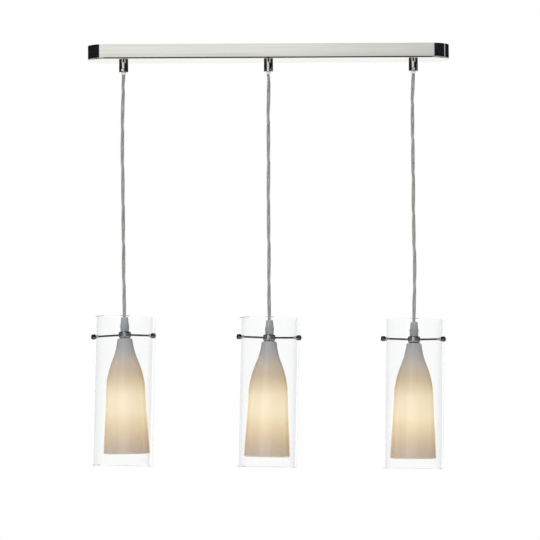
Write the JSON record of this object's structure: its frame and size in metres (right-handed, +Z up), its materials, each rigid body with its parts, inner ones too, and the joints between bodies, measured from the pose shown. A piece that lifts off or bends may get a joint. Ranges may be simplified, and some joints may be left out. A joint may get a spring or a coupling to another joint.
{
  "type": "linear island pendant",
  "caption": "Ceiling bar with cord-hung pendants in a row, each an opal glass bottle shade inside a clear glass cylinder.",
  "frame": {"origin": "middle of the ceiling plane, on the top face of the bracket strap", "axes": "+X along the bar to the right as seen from the front, -Y towards the viewer, +Z up"},
  "size_m": [0.6, 0.1097, 0.7015],
  "materials": {
    "polished_chrome": "polished",
    "zinc_steel": "satin",
    "plated_brass": "satin",
    "clamp_plastic": "satin moulded",
    "insert_plastic": "moulded",
    "block_plastic": "moulded",
    "holder_plastic": "moulded",
    "bush_plastic": "translucent moulded",
    "clear_pvc": "clear sheath over silver cores",
    "lead_pvc": "smooth",
    "washer_rubber": "soft",
    "clear_glass": "clear, fire polished",
    "opal_glass": "glossy opal, lit from inside",
    "lamp_glass": "frosted, lit"
  },
  "bodies": {
    "ceiling_bar": {"bar_cover": "polished_chrome", "ceiling_bracket": "zinc_steel", "cover_screws": "zinc_steel", "earth_post": "plated_brass", "earth_nut": "plated_brass", "terminal_block": "block_plastic", "terminal_screws": "zinc_steel", "cord_inserts": "insert_plastic", "grip_screws": "polished_chrome", "grip_nipples": "zinc_steel", "grip_washers": "zinc_steel", "grip_nuts": "zinc_steel", "grip_left": "polished_chrome", "bar_lead_left": "lead_pvc", "grip_centre": "polished_chrome", "bar_lead_centre": "lead_pvc", "grip_right": "polished_chrome", "bar_lead_right": "lead_pvc"},
    "drop_left": {"cord_left": "clear_pvc"},
    "pendant_left": {"clamp_cap_left": "clamp_plastic", "clamp_body_left": "clamp_plastic", "hub_left": "polished_chrome", "arms_left": "polished_chrome", "bushes_left": "bush_plastic", "knobs_left": "polished_chrome", "glass_cylinder_left": "clear_glass", "opal_shade_left": "opal_glass", "shade_washer_left": "washer_rubber", "shade_nipple_left": "zinc_steel", "lampholder_left": "holder_plastic"},
    "lamp_left": {"lamp_base_left": "plated_brass", "lamp_glass_left": "lamp_glass"},
    "drop_centre": {"cord_centre": "clear_pvc"},
    "pendant_centre": {"clamp_cap_centre": "clamp_plastic", "clamp_body_centre": "clamp_plastic", "hub_centre": "polished_chrome", "arms_centre": "polished_chrome", "bushes_centre": "bush_plastic", "knobs_centre": "polished_chrome", "glass_cylinder_centre": "clear_glass", "opal_shade_centre": "opal_glass", "shade_washer_centre": "washer_rubber", "shade_nipple_centre": "zinc_steel", "lampholder_centre": "holder_plastic"},
    "lamp_centre": {"lamp_base_centre": "plated_brass", "lamp_glass_centre": "lamp_glass"},
    "drop_right": {"cord_right": "clear_pvc"},
    "pendant_right": {"clamp_cap_right": "clamp_plastic", "clamp_body_right": "clamp_plastic", "hub_right": "polished_chrome", "arms_right": "polished_chrome", "bushes_right": "bush_plastic", "knobs_right": "polished_chrome", "glass_cylinder_right": "clear_glass", "opal_shade_right": "opal_glass", "shade_washer_right": "washer_rubber", "shade_nipple_right": "zinc_steel", "lampholder_right": "holder_plastic"},
    "lamp_right": {"lamp_base_right": "plated_brass", "lamp_glass_right": "lamp_glass"}
  },
  "joints": [
    {"name": "swing_left", "type": "hinge", "parent": "ceiling_bar", "child": "drop_left", "pos_m": [-0.24, 0, -0.0455], "axis": [1, 0, 0], "range_deg": [-30, 30]},
    {"name": "tilt_left", "type": "hinge", "parent": "drop_left", "child": "pendant_left", "pos_m": [-0.239, 0, -0.4495], "axis": [0, 1, 0], "range_deg": [-10, 10]},
    {"name": "unscrew_left", "type": "slide", "parent": "pendant_left", "child": "lamp_left", "axis": [0.0148, 0, -0.9999], "range_m": [0, 0.03]},
    {"name": "swing_centre", "type": "hinge", "parent": "ceiling_bar", "child": "drop_centre", "pos_m": [0, 0, -0.0455], "axis": [1, 0, 0], "range_deg": [-30, 30]},
    {"name": "tilt_centre", "type": "hinge", "parent": "drop_centre", "child": "pendant_centre", "pos_m": [0, 0, -0.4555], "axis": [0, 1, 0], "range_deg": [-10, 10]},
    {"name": "unscrew_centre", "type": "slide", "parent": "pendant_centre", "child": "lamp_centre", "axis": [-0.0244, 0, -0.9997], "range_m": [0, 0.03]},
    {"name": "swing_right", "type": "hinge", "parent": "ceiling_bar", "child": "drop_right", "pos_m": [0.24, 0, -0.0455], "axis": [1, 0, 0], "range_deg": [-30, 30]},
    {"name": "tilt_right", "type": "hinge", "parent": "drop_right", "child": "pendant_right", "pos_m": [0.238, 0, -0.4595], "axis": [0, 1, 0], "range_deg": [-10, 10]},
    {"name": "unscrew_right", "type": "slide", "parent": "pendant_right", "child": "lamp_right", "axis": [-0.0157, 0, -0.9999], "range_m": [0, 0.03]}
  ]
}
